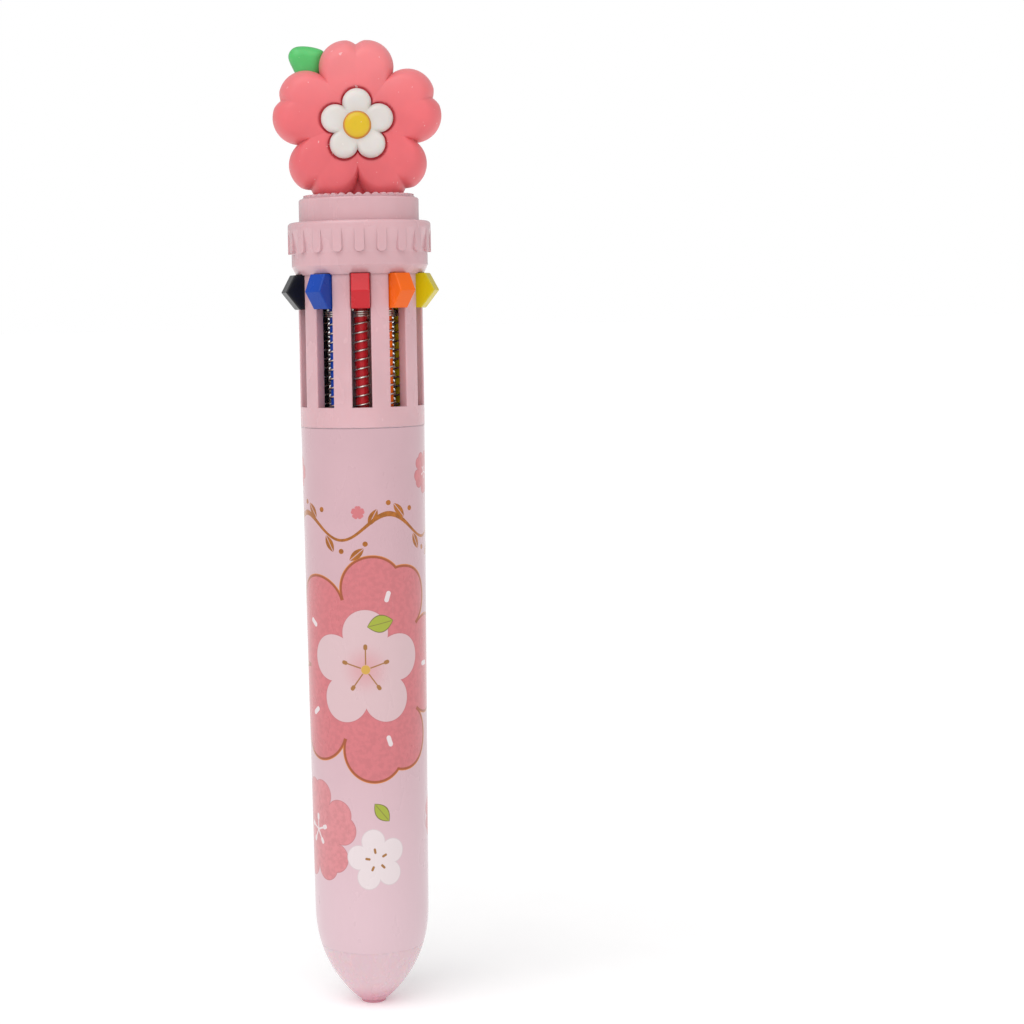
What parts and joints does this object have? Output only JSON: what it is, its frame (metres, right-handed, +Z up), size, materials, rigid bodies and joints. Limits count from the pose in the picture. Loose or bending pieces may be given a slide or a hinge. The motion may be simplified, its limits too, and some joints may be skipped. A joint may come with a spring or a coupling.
{
  "type": "multicolor click pen",
  "caption": "Click pen with a ring of spring-loaded colour plungers in a slotted barrel, unscrewing lower barrel and soft flower topper.",
  "frame": {"origin": "middle of the nose end, the pen's lowest point", "axes": "+Z up along the pen from nose to flower; -Y is the front, where the red button and the blossom face; +X is to the right seen from the front"},
  "size_m": [0.0284, 0.0266, 0.1599],
  "materials": {
    "barrel_pink": "gloss",
    "printed_film": "gloss, printed flowers",
    "petal_coral": "soft matte",
    "leaf_green": "soft matte",
    "blossom_white": "soft matte",
    "centre_yellow": "soft matte",
    "inner_plastic": "satin",
    "spring_steel": "bright drawn wire",
    "tip_metal": "turned",
    "plastic_red": "gloss",
    "ink_red": "satin tube with ink",
    "plastic_orange": "gloss",
    "ink_orange": "satin tube with ink",
    "plastic_yellow": "gloss",
    "ink_yellow": "satin tube with ink",
    "plastic_green": "gloss",
    "ink_green": "satin tube with ink",
    "plastic_light_blue": "gloss",
    "ink_light_blue": "satin tube with ink",
    "plastic_pink": "gloss",
    "ink_pink": "satin tube with ink",
    "plastic_purple": "gloss",
    "ink_purple": "satin tube with ink",
    "plastic_brown": "gloss",
    "ink_brown": "satin tube with ink",
    "plastic_black": "gloss",
    "ink_black": "satin tube with ink",
    "plastic_blue": "gloss",
    "ink_blue": "satin tube with ink"
  },
  "bodies": {
    "lower_barrel": {"lower_barrel": "barrel_pink", "print_film": "printed_film"},
    "housing": {"slotted_barrel": "barrel_pink", "collar": "barrel_pink", "cap": "barrel_pink", "crown_ring": "barrel_pink", "flower_petals": "petal_coral", "flower_leaf": "leaf_green", "flower_blossom": "blossom_white", "flower_centre": "centre_yellow", "flower_peg": "petal_coral", "guide_disc": "inner_plastic", "centre_post": "inner_plastic", "spring_red": "spring_steel", "spring_orange": "spring_steel", "spring_yellow": "spring_steel", "spring_green": "spring_steel", "spring_light_blue": "spring_steel", "spring_pink": "spring_steel", "spring_purple": "spring_steel", "spring_brown": "spring_steel", "spring_black": "spring_steel", "spring_blue": "spring_steel"},
    "plunger_red": {"plunger_red": "plastic_red", "refill_tube_red": "ink_red"},
    "tip_red": {"refill_tip_red": "tip_metal"},
    "plunger_orange": {"plunger_orange": "plastic_orange", "refill_tube_orange": "ink_orange"},
    "tip_orange": {"refill_tip_orange": "tip_metal"},
    "plunger_yellow": {"plunger_yellow": "plastic_yellow", "refill_tube_yellow": "ink_yellow"},
    "tip_yellow": {"refill_tip_yellow": "tip_metal"},
    "plunger_green": {"plunger_green": "plastic_green", "refill_tube_green": "ink_green"},
    "tip_green": {"refill_tip_green": "tip_metal"},
    "plunger_light_blue": {"plunger_light_blue": "plastic_light_blue", "refill_tube_light_blue": "ink_light_blue"},
    "tip_light_blue": {"refill_tip_light_blue": "tip_metal"},
    "plunger_pink": {"plunger_pink": "plastic_pink", "refill_tube_pink": "ink_pink"},
    "tip_pink": {"refill_tip_pink": "tip_metal"},
    "plunger_purple": {"plunger_purple": "plastic_purple", "refill_tube_purple": "ink_purple"},
    "tip_purple": {"refill_tip_purple": "tip_metal"},
    "plunger_brown": {"plunger_brown": "plastic_brown", "refill_tube_brown": "ink_brown"},
    "tip_brown": {"refill_tip_brown": "tip_metal"},
    "plunger_black": {"plunger_black": "plastic_black", "refill_tube_black": "ink_black"},
    "tip_black": {"refill_tip_black": "tip_metal"},
    "plunger_blue": {"plunger_blue": "plastic_blue", "refill_tube_blue": "ink_blue"},
    "tip_blue": {"refill_tip_blue": "tip_metal"}
  },
  "joints": [
    {"name": "barrel_unscrew", "type": "slide", "parent": "lower_barrel", "child": "housing", "axis": [0, 0, -1], "range_m": [-0.088, 0]},
    {"name": "press_red", "type": "slide", "parent": "housing", "child": "plunger_red", "axis": [0, 0, -1], "range_m": [0, 0.0125], "stiffness_N_per_m": 60, "springref_m": -0.006, "deforming": ["spring_red", "refill_tube_red", "refill_tip_red"]},
    {"name": "swing_red", "type": "hinge", "parent": "plunger_red", "child": "tip_red", "pos_m": [0, -0.0069, 0.072], "axis": [1, 0, 0], "range_deg": [0, 7.2]},
    {"name": "press_orange", "type": "slide", "parent": "housing", "child": "plunger_orange", "axis": [0, 0, -1], "range_m": [0, 0.0125], "stiffness_N_per_m": 60, "springref_m": -0.006, "deforming": ["spring_orange", "refill_tube_orange", "refill_tip_orange"]},
    {"name": "swing_orange", "type": "hinge", "parent": "plunger_orange", "child": "tip_orange", "pos_m": [0.00406, -0.00558, 0.072], "axis": [0.809, 0.5878, 0], "range_deg": [0, 7.2]},
    {"name": "press_yellow", "type": "slide", "parent": "housing", "child": "plunger_yellow", "axis": [0, 0, -1], "range_m": [0, 0.0125], "stiffness_N_per_m": 60, "springref_m": -0.006, "deforming": ["spring_yellow", "refill_tube_yellow", "refill_tip_yellow"]},
    {"name": "swing_yellow", "type": "hinge", "parent": "plunger_yellow", "child": "tip_yellow", "pos_m": [0.00656, -0.00213, 0.072], "axis": [0.309, 0.9511, 0], "range_deg": [0, 7.2]},
    {"name": "press_green", "type": "slide", "parent": "housing", "child": "plunger_green", "axis": [0, 0, -1], "range_m": [0, 0.0125], "stiffness_N_per_m": 60, "springref_m": -0.006, "deforming": ["spring_green", "refill_tube_green", "refill_tip_green"]},
    {"name": "swing_green", "type": "hinge", "parent": "plunger_green", "child": "tip_green", "pos_m": [0.00656, 0.00213, 0.072], "axis": [-0.309, 0.9511, 0], "range_deg": [0, 7.2]},
    {"name": "press_light_blue", "type": "slide", "parent": "housing", "child": "plunger_light_blue", "axis": [0, 0, -1], "range_m": [0, 0.0125], "stiffness_N_per_m": 60, "springref_m": -0.006, "deforming": ["spring_light_blue", "refill_tube_light_blue", "refill_tip_light_blue"]},
    {"name": "swing_light_blue", "type": "hinge", "parent": "plunger_light_blue", "child": "tip_light_blue", "pos_m": [0.00406, 0.00558, 0.072], "axis": [-0.809, 0.5878, 0], "range_deg": [0, 7.2]},
    {"name": "press_pink", "type": "slide", "parent": "housing", "child": "plunger_pink", "axis": [0, 0, -1], "range_m": [0, 0.0125], "stiffness_N_per_m": 60, "springref_m": -0.006, "deforming": ["spring_pink", "refill_tube_pink", "refill_tip_pink"]},
    {"name": "swing_pink", "type": "hinge", "parent": "plunger_pink", "child": "tip_pink", "pos_m": [0, 0.0069, 0.072], "axis": [-1, 0, 0], "range_deg": [0, 7.2]},
    {"name": "press_purple", "type": "slide", "parent": "housing", "child": "plunger_purple", "axis": [0, 0, -1], "range_m": [0, 0.0125], "stiffness_N_per_m": 60, "springref_m": -0.006, "deforming": ["spring_purple", "refill_tube_purple", "refill_tip_purple"]},
    {"name": "swing_purple", "type": "hinge", "parent": "plunger_purple", "child": "tip_purple", "pos_m": [-0.00406, 0.00558, 0.072], "axis": [-0.809, -0.5878, 0], "range_deg": [0, 7.2]},
    {"name": "press_brown", "type": "slide", "parent": "housing", "child": "plunger_brown", "axis": [0, 0, -1], "range_m": [0, 0.0125], "stiffness_N_per_m": 60, "springref_m": -0.006, "deforming": ["spring_brown", "refill_tube_brown", "refill_tip_brown"]},
    {"name": "swing_brown", "type": "hinge", "parent": "plunger_brown", "child": "tip_brown", "pos_m": [-0.00656, 0.00213, 0.072], "axis": [-0.309, -0.9511, 0], "range_deg": [0, 7.2]},
    {"name": "press_black", "type": "slide", "parent": "housing", "child": "plunger_black", "axis": [0, 0, -1], "range_m": [0, 0.0125], "stiffness_N_per_m": 60, "springref_m": -0.006, "deforming": ["spring_black", "refill_tube_black", "refill_tip_black"]},
    {"name": "swing_black", "type": "hinge", "parent": "plunger_black", "child": "tip_black", "pos_m": [-0.00656, -0.00213, 0.072], "axis": [0.309, -0.9511, 0], "range_deg": [0, 7.2]},
    {"name": "press_blue", "type": "slide", "parent": "housing", "child": "plunger_blue", "axis": [0, 0, -1], "range_m": [0, 0.0125], "stiffness_N_per_m": 60, "springref_m": -0.006, "deforming": ["spring_blue", "refill_tube_blue", "refill_tip_blue"]},
    {"name": "swing_blue", "type": "hinge", "parent": "plunger_blue", "child": "tip_blue", "pos_m": [-0.00406, -0.00558, 0.072], "axis": [0.809, -0.5878, 0], "range_deg": [0, 7.2]}
  ],
  "couplings": [
    {"joint": "swing_red", "follows": "press_red", "rad_per_m": 9.8},
    {"joint": "swing_orange", "follows": "press_orange", "rad_per_m": 9.8},
    {"joint": "swing_yellow", "follows": "press_yellow", "rad_per_m": 9.8},
    {"joint": "swing_green", "follows": "press_green", "rad_per_m": 9.8},
    {"joint": "swing_light_blue", "follows": "press_light_blue", "rad_per_m": 9.8},
    {"joint": "swing_pink", "follows": "press_pink", "rad_per_m": 9.8},
    {"joint": "swing_purple", "follows": "press_purple", "rad_per_m": 9.8},
    {"joint": "swing_brown", "follows": "press_brown", "rad_per_m": 9.8},
    {"joint": "swing_black", "follows": "press_black", "rad_per_m": 9.8},
    {"joint": "swing_blue", "follows": "press_blue", "rad_per_m": 9.8}
  ]
}
